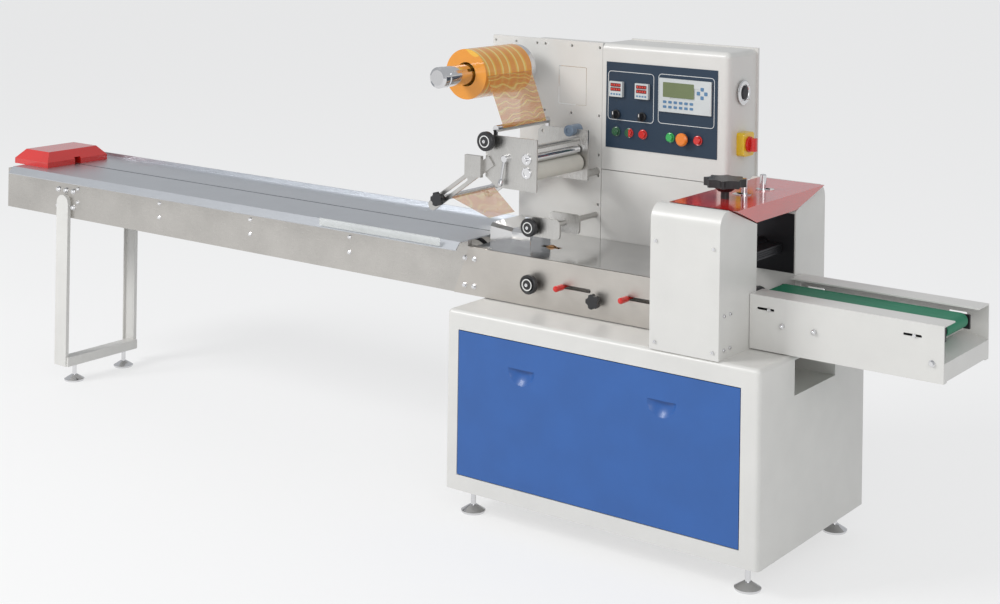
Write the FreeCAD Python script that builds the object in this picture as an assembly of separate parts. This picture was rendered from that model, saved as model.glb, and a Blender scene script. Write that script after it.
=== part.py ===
import FreeCAD, Part
import math
import os

# Horizontal flow wrapper: a cabinet on levelling feet carries the packing head,
# a long infeed conveyor comes in from the left and a short belt leaves to the right.
# While it is built, x runs along the line from the cabinet's left side, y runs
# back from the cabinet's front and z runs up from the floor, all in millimetres.

# ---------------------------------------------------------------- main sizes
cabinet_length = 1050.0
cabinet_depth = 660.0
cabinet_underside = 78.0
cabinet_top = 613.0
line_y = cabinet_depth / 2
table_top = cabinet_top + 150.0
frame_bottom = cabinet_top + 3.0
frame_half = 159.0
frame_front = line_y - frame_half
frame_back = line_y + frame_half
infeed_start = -2286.0
bed_end = -55.0
outfeed_end = cabinet_length + 435.0
panel_front = line_y + 210.0
box_back = panel_front + 180.0
machine_top = table_top + 622.0
sealer_start = 706.0
sealer_end = 923.0
web_half = 123.0
plate = 4.0
play = 0.3

X = FreeCAD.Vector(1, 0, 0)
Y = FreeCAD.Vector(0, 1, 0)
Z = FreeCAD.Vector(0, 0, 1)
pieces = {}


def add(name, *solids):
    """Keep a piece under its name; several like solids share one name."""
    if len(solids) == 1:
        pieces[name] = solids[0]
    else:
        pieces[name] = Part.makeCompound(list(solids))


def block(x, y, z):
    """A box between pairs of coordinates."""
    corner = FreeCAD.Vector(x[0], y[0], z[0])
    return Part.makeBox(x[1] - x[0], y[1] - y[0], z[1] - z[0], corner)


def rod(axis, start, radius, length):
    """A round bar from the centre of its first end."""
    return Part.makeCylinder(radius, length, FreeCAD.Vector(*start), axis)


def prism(axis, span, corners):
    """A flat outline pushed along an axis. Corners are the two other coordinates, in order."""
    points = []
    for first, second in corners:
        if axis is X:
            points.append(FreeCAD.Vector(span[0], first, second))
        elif axis is Y:
            points.append(FreeCAD.Vector(first, span[0], second))
        else:
            points.append(FreeCAD.Vector(first, second, span[0]))
    face = Part.Face(Part.makePolygon(points + points[:1]))
    return face.extrude(axis * (span[1] - span[0]))


def turned(axis, start, profile):
    """A solid of revolution. The profile lists (distance along the axis, radius)."""
    points = [FreeCAD.Vector(radius, 0, along) for along, radius in profile]
    points = [FreeCAD.Vector(0, 0, profile[0][0])] + points + [FreeCAD.Vector(0, 0, profile[-1][0])]
    face = Part.Face(Part.makePolygon(points + points[:1]))
    solid = face.revolve(FreeCAD.Vector(0, 0, 0), Z, 360)
    solid.Placement = FreeCAD.Placement(FreeCAD.Vector(*start), FreeCAD.Rotation(Z, axis))
    return solid


def rounded(solid, radius, chosen):
    """Round the straight edges for which chosen(low, high) is true."""
    edges = []
    for edge in solid.Edges:
        box = edge.BoundBox
        low = FreeCAD.Vector(box.XMin, box.YMin, box.ZMin)
        high = FreeCAD.Vector(box.XMax, box.YMax, box.ZMax)
        if chosen(low, high):
            edges.append(edge)
    return solid.makeFillet(radius, edges)


def slot(x, z, height, y):
    """A round-ended slot cutter along x that reaches through the span y."""
    radius = height / 2
    depth = y[1] - y[0]
    cutter = block((x[0] + radius, x[1] - radius), y, (z - radius, z + radius))
    for end in (x[0] + radius, x[1] - radius):
        cutter = cutter.fuse(rod(Y, (end, y[0], z), radius, depth))
    return cutter.removeSplitter()


def lobed_knob(axis, start, radius, depth, lobes):
    """A moulded grip: a disc scalloped between its lobes, its edges left square."""
    grip = rod(axis, start, radius, depth)
    side = Z.cross(axis) if axis is not Z else X
    other = axis.cross(side)
    for index in range(lobes):
        angle = 2 * math.pi * index / lobes
        reach = side * math.cos(angle) + other * math.sin(angle)
        centre = FreeCAD.Vector(*start) + reach * (radius * 1.22) - axis
        grip = grip.cut(Part.makeCylinder(radius * 0.42, depth + 2, centre, axis))
    return grip


# ------------------------------------------------------------------- cabinet
# The base is a closed steel box with softly rounded corners. Its front takes a
# lift-off door in a shallow rebate and its right side has a drive cut-out.
door_x = (46.0, cabinet_length - 60.0)
door_z = (cabinet_underside + 48.0, cabinet_top - 59.0)
door_depth = 22.0
door_gap = 2.5
cutout_y = (line_y - 130.0, line_y + 125.0)
cutout_z = (cabinet_top - 113.0, cabinet_top - 15.0)
cutout_depth = 160.0
corner_radius = 14.0


def on_cabinet_edge(low, high):
    upright = high.z - low.z > 100
    along_top = low.z > cabinet_top - 1 and high.z - low.z < 1
    return upright or along_top


shell = block((0, cabinet_length), (0, cabinet_depth), (cabinet_underside, cabinet_top))
shell = rounded(shell, corner_radius, on_cabinet_edge)
rebate_x = (door_x[0] - door_gap, door_x[1] + door_gap)
rebate_z = (door_z[0] - door_gap, door_z[1] + door_gap)
shell = shell.cut(block(rebate_x, (-1, door_depth), rebate_z))
shell = shell.cut(block((cabinet_length - cutout_depth, cabinet_length + 1), cutout_y, cutout_z))
add("cabinet_shell", shell)

# The door is a folded panel with two pulls: a shelf to hook the fingers under
# and a shallow dish pressed in below it.
pull_width = 94.0
pull_z = door_z[0] + 350.0
door = block(door_x, (0, door_depth - 0.5), door_z)
dish_depth = 17.0
dish_radius = ((pull_width / 2) ** 2 + dish_depth ** 2) / (2 * dish_depth)
for centre_x in (door_x[0] + 229.0, door_x[0] + 702.0):
    dish = Part.makeSphere(dish_radius, FreeCAD.Vector(centre_x, dish_depth - dish_radius, pull_z))
    above = block((centre_x - pull_width, centre_x + pull_width), (-2 * dish_radius, dish_depth + 1),
                  (pull_z, pull_z + 2 * dish_radius))
    door = door.cut(dish.cut(above))
add("cabinet_door", door)

# -------------------------------------------------------------- levelling feet
# Turned steel pads on threaded stems, four under the cabinet and two under the leg.
pad_radius = 37.0
pad_height = 22.0
stem_radius = 8.0
foot_inset = 62.0
leg_x = -1952.0
leg_foot_x = leg_x + 20.0
leg_foot_half = 120.0
leg_underside = 62.0


def foot(x, y, stem_top):
    profile = [
        (0.0, pad_radius - 2.0),
        (3.0, pad_radius),
        (pad_height * 0.3, pad_radius),
        (pad_height * 0.7, pad_radius * 0.62),
        (pad_height, pad_radius * 0.32),
        (pad_height, stem_radius),
        (stem_top, stem_radius),
    ]
    return turned(Z, (x, y, 0), profile)


feet = []
for x in (foot_inset, cabinet_length - foot_inset):
    for y in (foot_inset, cabinet_depth - foot_inset):
        feet.append(foot(x, y, cabinet_underside))
for y in (line_y - leg_foot_half, line_y + leg_foot_half):
    feet.append(foot(leg_foot_x, y, leg_underside))
add("levelling_feet", *feet)

# ------------------------------------------------------------------ infeed leg
# Two folded uprights bolted outside the conveyor sides, joined low down by a rail.
post_width = 64.0
post_depth = 14.0
post_wall = 4.0
post_top = frame_bottom + 84.0
rail_height = 34.0
rail_width = 44.0


def leg_post(outer_y, inward):
    x = (leg_x - post_width / 2, leg_x + post_width / 2)
    y = sorted((outer_y, outer_y - inward * post_depth))
    post = block(x, y, (leg_underside, post_top - post_width / 2))
    post = post.fuse(rod(Y, (leg_x, y[0], post_top - post_width / 2), post_width / 2, post_depth))
    hollow_y = sorted((outer_y - inward * (post_depth - post_wall), outer_y + inward))
    hollow_x = (x[0] + post_wall, x[1] - post_wall)
    post = post.cut(block(hollow_x, hollow_y, (leg_underside - 1, frame_bottom - 12.0)))
    return post.removeSplitter()


rail_x = (leg_foot_x - rail_width / 2, leg_foot_x + rail_width / 2)
rail_y = (frame_front - post_depth + post_wall, frame_back + post_depth - post_wall)
rail = block(rail_x, rail_y, (leg_underside, leg_underside + rail_height))
add("leg_frame", leg_post(frame_front, 1).fuse([leg_post(frame_back, -1), rail]).removeSplitter())

# -------------------------------------------------------------- infeed conveyor
# Two folded side plates held apart by tie rods and closed by a plate at the left end.
infeed_top = frame_bottom + 148.0
infeed_inner_end = 20.0
flange = 22.0
tie_radius = 7.0
tie_levels = (frame_bottom + 34.0, frame_bottom + 96.0)
tie_stations = (infeed_start + 222.0, infeed_start + 718.0, infeed_start + 1224.0)


def side_plate(outer_y, inward):
    back_y = outer_y + inward * plate
    lip_y = outer_y + inward * flange
    corners = [
        (outer_y, frame_bottom),
        (lip_y, frame_bottom),
        (lip_y, frame_bottom + plate),
        (back_y, frame_bottom + plate),
        (back_y, infeed_top - plate),
        (lip_y, infeed_top - plate),
        (lip_y, infeed_top),
        (outer_y, infeed_top),
    ]
    return prism(X, (infeed_start + plate, infeed_inner_end), corners)


frame_sides = [side_plate(frame_front, 1), side_plate(frame_back, -1)]
end_plate = block((infeed_start, infeed_start + plate), (frame_front, frame_back), (frame_bottom, infeed_top))
ties = []
for x in tie_stations:
    for z in tie_levels:
        ties.append(rod(Y, (x, frame_front + plate, z), tie_radius, 2 * (frame_half - plate)))
add("infeed_frame", frame_sides[0].fuse([frame_sides[1], end_plate] + ties).removeSplitter())

# The product slides on two polished strips with the pusher slot between them.
# The front strip flares down in front of the side plate, the rear one turns up.
bed_top = infeed_top + 19.0
bed_start = infeed_start + 80.0
bed_half = 200.0
slot_half = 4.0
skin = 3.0
flare = 22.0
rear_lip = 14.0
spacer_height = bed_top - skin - infeed_top
front_strip = [
    (line_y - slot_half, bed_top),
    (line_y - bed_half, bed_top),
    (line_y - bed_half - flare, bed_top - flare),
    (line_y - bed_half - flare + skin, bed_top - flare - skin),
    (line_y - bed_half + skin / 2, bed_top - skin),
    (line_y - slot_half - skin, bed_top - skin),
    (line_y - slot_half - skin, infeed_top),
    (line_y - slot_half, infeed_top),
]
rear_strip = [
    (line_y + slot_half, bed_top),
    (line_y + bed_half - skin, bed_top),
    (line_y + bed_half - skin, bed_top + rear_lip),
    (line_y + bed_half, bed_top + rear_lip),
    (line_y + bed_half, bed_top - skin),
    (line_y + slot_half + skin, bed_top - skin),
    (line_y + slot_half + skin, infeed_top),
    (line_y + slot_half, infeed_top),
]
add("infeed_bed", prism(X, (bed_start, bed_end), front_strip), prism(X, (bed_start, bed_end), rear_strip))
bearers = []
for outer_y in (frame_front, frame_back - flange):
    bearers.append(block((bed_start, bed_end), (outer_y, outer_y + flange), (infeed_top, infeed_top + spacer_height)))
add("infeed_bearers", *bearers)

# The pusher chain is a closed loop under the slot, lugs taken off.
chain_half = 5.0
chain_depth = 9.0
chain_radius = 68.0
chain_z = (frame_bottom + infeed_top) / 2
chain_x = (infeed_start + 100.0, bed_end - 90.0)


def stadium(x, z, radius, y):
    loop = block(x, y, (z - radius, z + radius))
    for end in x:
        loop = loop.fuse(rod(Y, (end, y[0], z), radius, y[1] - y[0]))
    return loop.removeSplitter()


chain_y = (line_y - chain_half, line_y + chain_half)
chain = stadium(chain_x, chain_z, chain_radius, chain_y)
chain = chain.cut(stadium(chain_x, chain_z, chain_radius - chain_depth, (chain_y[0] - 1, chain_y[1] + 1)))
add("infeed_chain", chain)

# A hipped cover closes the tail of the conveyor; the slot runs out of its mouth.
cover_x = (infeed_start + 20.0, infeed_start + 214.0)
cover_half = 145.0
cover_skirt = 20.0
cover_height = 54.0
cover_slope = 30.0
mouth_half = 14.0


def hip(x, y, z, slope):
    """A straight-sided block whose top is drawn in by the same slope all round."""
    low = Part.makePolygon([FreeCAD.Vector(a, b, z[0]) for a, b in corners_of(x, y, 0)])
    high = Part.makePolygon([FreeCAD.Vector(a, b, z[1]) for a, b in corners_of(x, y, slope)])
    return Part.makeLoft([low, high], True, True)


def corners_of(x, y, inset):
    left, right = x[0] + inset, x[1] - inset
    near, far = y[0] + inset, y[1] - inset
    return [(left, near), (right, near), (right, far), (left, far), (left, near)]


cover_y = (line_y - cover_half, line_y + cover_half)
skirt = block(cover_x, cover_y, (bed_top, bed_top + cover_skirt))
roof = hip(cover_x, cover_y, (bed_top + cover_skirt, bed_top + cover_height), cover_slope)
cover = skirt.fuse(roof).removeSplitter()
mouth = block((cover_x[1] - 60.0, cover_x[1] + 1), (line_y - mouth_half, line_y + mouth_half),
              (bed_top - 1, bed_top + cover_skirt + 6.0))
add("infeed_end_cover", cover.cut(mouth))

# ------------------------------------------------------------ table and fascia
# Behind the fascia the housing is closed; its top is a polished work table with
# a slot for the fin wheels. The tall drive housing stands along the back.
body_left = infeed_inner_end + 6.0
housing_left = -110.0
housing_top = machine_top - 8.0
step_top = table_top + 222.0
seam_x = 194.0
panel_thickness = 12.0
table_sheet = 8.0
housing_back = cabinet_depth - 5.0
wheel_x = 150.0
wheel_slot_half = 11.0
wheel_slot_reach = 34.0

front_y = (frame_front + plate, panel_front - 2.0)
rear_y = (panel_front + panel_thickness, housing_back)
low_body = block((body_left, sealer_start - 3.0), front_y, (cabinet_top, table_top - table_sheet))
low_body = low_body.cut(
    block(
        (wheel_x - wheel_slot_reach, wheel_x + wheel_slot_reach),
        (line_y - 30.0, line_y + 30.0),
        (table_top - 60.0, table_top),
    )
)
add("table_body", low_body)
step = block((seam_x, sealer_start - 3.0), rear_y, (cabinet_top, step_top))
tower = block((housing_left, seam_x), rear_y, (cabinet_top, housing_top))
add("drive_housing", tower.fuse(step).removeSplitter())

table = block((-40.0, sealer_start + 30.0), (frame_front + plate, panel_front - 2.0),
              (table_top - table_sheet, table_top))
table = table.cut(
    block(
        (sealer_start - 4.0, sealer_start + 31.0),
        (0, line_y - 110.0),
        (table_top - 20.0, table_top + 1),
    )
)
table = table.cut(
    block(
        (sealer_start - 4.0, sealer_start + 31.0),
        (line_y + 110.0, cabinet_depth),
        (table_top - 20.0, table_top + 1),
    )
)
table = table.cut(
    block(
        (wheel_x - wheel_slot_reach, wheel_x + wheel_slot_reach),
        (line_y - wheel_slot_half, line_y + wheel_slot_half),
        (table_top - 20.0, table_top + 1),
    )
)
add("work_table", table)

# The fascia is a stainless plate with two lever slots; its left end slants back
# over the infeed side plate.
fascia_y = (frame_front - plate, frame_front)
fascia_slots = ((300.0, 403.0), (526.0, 640.0))
slot_z = table_top - 70.0
slot_height = 12.0
fascia_outline = [
    (-104.0, frame_bottom),
    (sealer_start - 3.0, frame_bottom),
    (sealer_start - 3.0, table_top),
    (-48.0, table_top),
]
fascia = prism(Y, fascia_y, fascia_outline)
for span in fascia_slots:
    fascia = fascia.cut(slot(span, slot_z, slot_height, (fascia_y[0] - 1, fascia_y[1] + 1)))
add("fascia_panel", fascia)

# ------------------------------------------------------------ fascia controls
# A phase handwheel, a clamping star knob and two sleeved levers that slide in
# the slots. Levers run in a pocket cut in the housing behind the fascia.
handwheel_x = 198.0
handwheel_radius = 29.0
star_x = 427.0
star_radius = 22.0
star_z = table_top - 92.0
lever_rod = 4.5
lever_sleeve = 9.0
lever_sleeve_length = 42.0
knob_gap = 6.0
pocket_depth = 40.0

hub_start = fascia_y[0]
handwheel = turned(Y * -1, (handwheel_x, hub_start - play, slot_z - 5.0), [
    (0.0, 11.0),
    (14.0, 11.0),
    (16.0, handwheel_radius - 3.0),
    (19.0, handwheel_radius),
    (31.0, handwheel_radius),
    (34.0, handwheel_radius - 3.0),
    (31.0, 17.0),
    (36.0, 14.0),
])
add("fascia_handwheel", handwheel)

star = lobed_knob(Y * -1, (star_x, hub_start - 16.0, star_z), star_radius, 15.0, 5)
star = star.fuse(rod(Y * -1, (star_x, hub_start - play, star_z), 9.0, 17.0))
add("fascia_star_knob", star.removeSplitter())

levers = {}
for name, span in zip(("fascia_lever_left", "fascia_lever_right"), fascia_slots):
    x = span[0] + lever_rod + 2.0
    profile = [
        (-pocket_depth + 8.0, lever_rod),
        (plate + knob_gap, lever_rod),
        (plate + knob_gap, lever_sleeve - 1.5),
        (plate + knob_gap + 3.0, lever_sleeve),
        (plate + knob_gap + lever_sleeve_length - 6.0, lever_sleeve),
        (plate + knob_gap + lever_sleeve_length - 1.5, lever_sleeve - 3.0),
        (plate + knob_gap + lever_sleeve_length, lever_sleeve - 7.0),
    ]
    levers[name] = turned(Y * -1, (x, frame_front, slot_z), profile)
    add(name, levers[name])
    pocket = block((span[0] - 5.0, span[1] + 5.0), (frame_front, frame_front + plate + pocket_depth),
                   (slot_z - 14.0, slot_z + 14.0))
    pieces["table_body"] = pieces["table_body"].cut(pocket)

# ------------------------------------------------------- back panel and controls
# The machine plate carries the reel and the pull unit. Its top left corner
# reaches out to hold the reel. A drilled border shows where drives bolt on.
panel_left = -126.0
ear_left = -240.0
ear_bottom = table_top + 415.0
hole_radius = 4.5
panel_bottom = table_top - 14.0
top_row = machine_top - 16.0
reel_x = -100.0
reel_z = table_top + 527.0

outline = [
    (panel_left, panel_bottom),
    (seam_x - 1.0, panel_bottom),
    (seam_x - 1.0, machine_top),
    (ear_left, machine_top),
    (ear_left, ear_bottom),
    (panel_left, ear_bottom),
]
panel = prism(Y, (panel_front, panel_front + panel_thickness), outline)
holes = [(x, top_row) for x in (-229.0, -146.0, -62.0, -29.0, 75.0, seam_x - 12.0)]
holes += [(seam_x - 12.0, table_top + rise) for rise in (106.0, 198.0, 264.0, 389.0)]
holes += [(x, table_top + 389.0) for x in (-29.0, 75.0)]
for x, z in holes:
    panel = panel.cut(rod(Y, (x, panel_front - 1, z), hole_radius, panel_thickness + 2))
spindle_radius = 32.0
journal_radius = 15.0
panel = panel.cut(rod(Y, (reel_x, panel_front - 1, reel_z), journal_radius + 0.05, panel_thickness + 2))
add("back_panel", panel)

# The control box is a rounded cover with a rim plate behind; it hangs beside the panel.
box_x = (seam_x, seam_x + 457.0)
box_z = (step_top + play, machine_top)
rim = 5.0
cover_back = box_back - 8.0


def on_box_front(low, high):
    front = high.y < panel_front + 1
    along = high.x - low.x > 50 and low.z > machine_top - 1
    right_side = low.x > box_x[1] - 1 and high.z - low.z > 50
    right_top = low.x > box_x[1] - 1 and low.z > machine_top - 1
    return (front and (along or right_side)) or right_top


box = block(box_x, (panel_front, cover_back), box_z)
box = rounded(box, 18.0, on_box_front)
rim_plate = block((box_x[0], box_x[1] + rim), (cover_back, box_back), (box_z[0], machine_top + 4.0))
add("control_box", box.fuse(rim_plate).removeSplitter())
lower_panel = block((seam_x + 1.0, sealer_start - 3.0), (panel_front, panel_front + panel_thickness),
                    (panel_bottom, step_top - 2.0))
add("lower_panel", lower_panel)

plate_x = (box_x[0] + 16.0, box_x[0] + 417.0)
plate_z = (box_z[0] + 72.0, box_z[0] + 343.0)
face_y = panel_front - 2.0
add("control_plate", block(plate_x, (face_y, panel_front), plate_z))

unit_x = (box_x[0] + 214.0, box_x[0] + 398.0)
unit_z = (plate_z[1] - 140.0, plate_z[1] - 36.0)
screen_x = (unit_x[0] + 39.0, unit_x[0] + 144.0)
screen_z = (unit_z[0] + 42.0, unit_z[0] + 79.0)
unit = block(unit_x, (face_y - 6.0, face_y), unit_z)
unit = unit.cut(block(screen_x, (face_y - 7.0, face_y - 4.0), screen_z))
add("display_unit", unit)

controller_width = 48.0
controller_top = plate_z[1] - 60.0
controllers = []
for x in (box_x[0] + 34.0, box_x[0] + 129.0):
    case = block((x, x + controller_width), (face_y - 12.0, face_y), (controller_top - controller_width, controller_top))
    window = block((x + 8, x + controller_width - 8), (face_y - 13.0, face_y - 10.5),
                   (controller_top - 27.0, controller_top - 6.0))
    controllers.append(case.cut(window))
add("temperature_controllers", *controllers)

selector_z = plate_z[1] - 164.0
selector_radius = 14.0
for name, x in (("selector_left", box_x[0] + 56.0), ("selector_right", box_x[0] + 152.0)):
    dial = turned(Y * -1, (x, face_y - play, selector_z), [
        (0.0, selector_radius),
        (6.0, selector_radius),
        (8.0, selector_radius - 2.0),
    ])
    grip = block((x - 4.0, x + 4.0), (face_y - 24.0, face_y - 6.0),
                 (selector_z - selector_radius + 2.5, selector_z + selector_radius - 2.5))
    add(name, dial.fuse(grip).removeSplitter())

button_z = plate_z[1] - 219.0
button_radius = 12.0
bezel = 3.0


def button(x, radius, height):
    return turned(Y * -1, (x, face_y, button_z), [
        (0.0, radius + bezel),
        (3.0, radius + bezel),
        (4.0, radius),
        (height - 2.0, radius),
        (height, radius - 2.0),
    ])


heads = [button(box_x[0] + reach, button_radius, 12.0) for reach in (56.0, 104.0, 155.0, 254.0, 352.0)]
add("push_buttons", *heads)

jog_x = box_x[0] + 304.0
jog_radius = 20.0
jog_stroke = 5.0
stem = rod(Y * -1, (jog_x, face_y - 1.0, button_z), 9.0, 20.0)
cap = turned(Y * -1, (jog_x, face_y - 1.0 - jog_stroke - 5.0, button_z), [
    (0.0, jog_radius - 3.0),
    (4.0, jog_radius),
    (10.0, jog_radius),
    (14.0, jog_radius - 5.0),
])
add("jog_button", stem.fuse(cap).removeSplitter())

# The main switch is a shrouded rotary handle on the box's right side.
switch_y = panel_front + 80.0
switch_z = box_z[0] + 117.0
switch_half = 32.0
switch_plate = block((box_x[1], box_x[1] + 26.0), (switch_y - switch_half, switch_y + switch_half),
                     (switch_z - 36.0, switch_z + 36.0))
add("switch_base", rounded(switch_plate, 10.0, lambda low, high: high.x - low.x > 20))
knob_x = box_x[1] + 26.0 + play
handle = turned(X, (knob_x, switch_y, switch_z), [(0.0, 24.0), (5.0, 24.0), (7.0, 22.0)])
bar = block((knob_x + 4.0, knob_x + 26.0), (switch_y - 9.0, switch_y + 9.0), (switch_z - 20.0, switch_z + 20.0))
bar = rounded(bar, 5.0, lambda low, high: low.x > knob_x + 25.0 and high.z - low.z > 35)
add("switch_handle", handle.fuse(bar).removeSplitter())

# -------------------------------------------------------------------- film reel
# A slotted expanding spindle on a journal in the panel, a dished chrome flange
# and the roll of printed film between them.
spindle_tip = panel_front - 478.0
roll_y = (line_y - web_half, line_y + web_half)
roll_radius = 79.0
core_radius = 38.0
flange_radius = 77.0
flange_y = (roll_y[1] + 1.0, panel_front - 60.0)
spindle = turned(Y, (reel_x, 0, reel_z), [
    (spindle_tip, spindle_radius - 8.0),
    (spindle_tip + 6.0, spindle_radius + 1.0),
    (spindle_tip + 26.0, spindle_radius + 1.0),
    (spindle_tip + 30.0, spindle_radius - 3.0),
    (spindle_tip + 34.0, spindle_radius),
    (flange_y[0], spindle_radius),
    (flange_y[0], flange_radius - 1.5),
    (flange_y[0] + 1.5, flange_radius),
    (flange_y[1] - 1.5, flange_radius),
    (flange_y[1], flange_radius - 1.5),
    (flange_y[1], spindle_radius - 4.0),
    (panel_front - 5.0, spindle_radius - 4.0),
    (panel_front - 5.0, journal_radius),
    (panel_front + panel_thickness - play, journal_radius),
])
key_count = 3
for index in range(key_count):
    key = block((reel_x - 5.0, reel_x + 5.0), (spindle_tip + 44.0, roll_y[1] - 30.0),
                (reel_z + spindle_radius - 7.0, reel_z + spindle_radius + 4.0))
    key.rotate(FreeCAD.Vector(reel_x, 0, reel_z), Y, 60.0 + index * 360.0 / key_count)
    spindle = spindle.cut(key)
add("reel_spindle", spindle)
roll = rod(Y, (reel_x, roll_y[0], reel_z), roll_radius, roll_y[1] - roll_y[0])
roll = roll.cut(rod(Y, (reel_x, roll_y[0] - 1, reel_z), core_radius, roll_y[1] - roll_y[0] + 2))
add("film_roll", roll)

# -------------------------------------------------------------------- pull unit
# Two plates bolted off the panel carry the film rollers; a slotted arm reaches
# out to the left with a turning bar clamped in it.
pull_x = (15.0, 189.0)
pull_z = (table_top + 192.0, table_top + 351.0)
pull_front = line_y - web_half - 20.0
pull_back = line_y + web_half + 14.0
pull_plate = 6.0
drive_x, drive_z, drive_radius = 152.0, table_top + 247.0, 27.0
nip_radius = 13.5
nip_z = drive_z + drive_radius + nip_radius + 1.0
tube_x, tube_z, tube_radius = 32.0, pull_z[1] + 8.0, 11.0
bar_radius = 7.0
bar_z = nip_z + nip_radius + 12.0 + bar_radius
shaft_radius = 6.0
arm_tip = (-205.0, table_top + 109.0)
arm_root = (22.0, table_top + 272.0)
arm_width = 34.0
arm_slope = math.atan2(arm_root[1] - arm_tip[1], arm_root[0] - arm_tip[0])
arm_length = math.hypot(arm_root[0] - arm_tip[0], arm_root[1] - arm_tip[1])
grip_at = 44.0
turn_x = arm_tip[0] + grip_at * math.cos(arm_slope)
turn_z = arm_tip[1] + grip_at * math.sin(arm_slope)


def unit_plate(y):
    """Side plate with bored shaft holes and a chamfered lower left corner."""
    corners = [
        (pull_x[0] + 26.0, pull_z[0]),
        (pull_x[1], pull_z[0]),
        (pull_x[1], pull_z[1]),
        (pull_x[0] - 2.0, pull_z[1]),
        (pull_x[0] - 18.0, pull_z[1] - 16.0),
        (pull_x[0] - 18.0, pull_z[0] + 30.0),
    ]
    side = prism(Y, (y, y + pull_plate), corners)
    for z in (drive_z, nip_z):
        side = side.cut(rod(Y, (drive_x, y - 1, z), shaft_radius + 0.05, pull_plate + 2))
    side = side.cut(rod(Y, (grip_x, y - 1, grip_z), shaft_radius + 0.05, pull_plate + 2))
    return side


grip_x = pull_x[0] + 2.0
grip_z = pull_z[1] - 17.0
front_plate = unit_plate(pull_front)
rear_plate = unit_plate(pull_back)
posts = []
for x in (pull_x[0] + 50.0, pull_x[1] - 12.0):
    posts.append(rod(Y, (x, pull_back + pull_plate, pull_z[0] + 20.0), 12.0, panel_front - pull_back - pull_plate))
ties = []
for x, z in ((pull_x[0] + 50.0, pull_z[0] + 20.0), (drive_x, bar_z)):
    ties.append(rod(Y, (x, pull_front + pull_plate, z), bar_radius, pull_back - pull_front - pull_plate))
add("pull_frame", front_plate.fuse([rear_plate] + posts + ties).removeSplitter())


def roller(x, z, radius, journal):
    """A roller between the plates with journals that run in them."""
    inner = pull_front + pull_plate + 5.0
    outer = pull_back - 5.0
    return turned(Y, (x, 0, z), [
        (pull_front - journal, shaft_radius),
        (inner, shaft_radius),
        (inner, radius - 1.0),
        (inner + 1.0, radius),
        (outer - 1.0, radius),
        (outer, radius - 1.0),
        (outer, shaft_radius),
        (pull_back + pull_plate, shaft_radius),
    ])


add("drive_roller", roller(drive_x, drive_z, drive_radius, 2.0))
add("nip_roller", roller(drive_x, nip_z, nip_radius, 14.0))
tube = rod(Y, (tube_x, pull_front + 2.0, tube_z + tube_radius), tube_radius, pull_back - pull_front)
stands = []
for y in (pull_front, pull_back):
    stands.append(block((tube_x - 6.0, tube_x + 6.0), (y, y + pull_plate), (pull_z[1], tube_z + tube_radius)))
turn_bar = rod(Y, (turn_x, pull_front + 1.0, turn_z), 9.0, pull_back - pull_front + pull_plate - 2.0)
add("guide_bars", tube.fuse(stands).removeSplitter(), turn_bar)


def arm(y, thickness):
    """A slotted round-ended bar, drawn level and then tilted about its tip."""
    end = arm_width / 2
    shape = block((0, arm_length), (y, y + thickness), (-end, end))
    shape = shape.fuse(rod(Y, (0, y, 0), end, thickness))
    opening = slot((0.0, arm_length * 0.6), 0, 10.0, (y - 1, y + thickness + 1))
    shape = shape.cut(opening)
    shape.rotate(FreeCAD.Vector(0, 0, 0), Y, -math.degrees(arm_slope))
    shape.translate(FreeCAD.Vector(arm_tip[0], 0, arm_tip[1]))
    return shape.removeSplitter()


arm_front = pull_front - pull_plate
clamp_x = (-70.0, -8.0)
clamp_z = (table_top + 218.0, table_top + 284.0)
clamp = block(clamp_x, (arm_front - 14.0, arm_front), clamp_z)
add("tension_arms", arm(arm_front, pull_plate).fuse(clamp).removeSplitter(),
    arm(pull_back + pull_plate, pull_plate))
arm_knob = lobed_knob(Y * -1, (turn_x, arm_front - 14.0, turn_z), 22.0, 15.0, 5)
arm_knob = arm_knob.fuse(rod(Y * -1, (turn_x, arm_front - play, turn_z), 8.5, 15.0))
add("arm_knob", arm_knob.removeSplitter())

grip_wheel = turned(Y * -1, (grip_x, pull_front, grip_z), [
    (-pull_plate, shaft_radius),
    (6.0, shaft_radius),
    (6.0, 14.0),
    (16.0, 14.0),
    (18.0, 27.0),
    (21.0, 30.0),
    (33.0, 30.0),
    (36.0, 27.0),
])
add("pull_handwheel", grip_wheel)

# --------------------------------------------------------------------- film web
# Film leaves the right of the roll, goes down over the tube, and comes off the
# turning bar narrowing into the forming box. Thin clear film, kept a little thick.
film = 1.2
tangent_x = reel_x + roll_radius + play


def film_span(top, low, top_half, low_half):
    """A thin tapering sheet between two level lines across the machine."""
    rings = []
    for (x, z), half in ((top, top_half), (low, low_half)):
        ring = []
        for y, dx in ((-half, 0), (half, 0), (half, film), (-half, film), (-half, 0)):
            ring.append(FreeCAD.Vector(x + dx, line_y + y, z))
        rings.append(Part.makePolygon(ring))
    return Part.makeLoft(rings, True, True)


former_x = (-20.0, 108.0)
former_half = 56.0
former_height = 52.0
drop = film_span((tangent_x, reel_z), (tube_x + tube_radius + 1.0, tube_z + tube_radius + 1.0),
                 web_half - 5.0, web_half - 8.0)
fold = film_span((turn_x + 10.0, turn_z), (former_x[0] - 22.0, table_top + former_height + 24.0),
                 web_half - 8.0, former_half + 12.0)
add("film_web", drop, fold)

# ------------------------------------------------------------------ forming box
# The film is folded round the product by a lofted shoulder: a wide low mouth
# that closes to a straight tunnel. The shell is one skin thick.
former_wall = 2.0
mouth_half_width = former_half + 34.0
mouth_height = former_height + 16.0
throat_x = former_x[0] + 58.0


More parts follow.
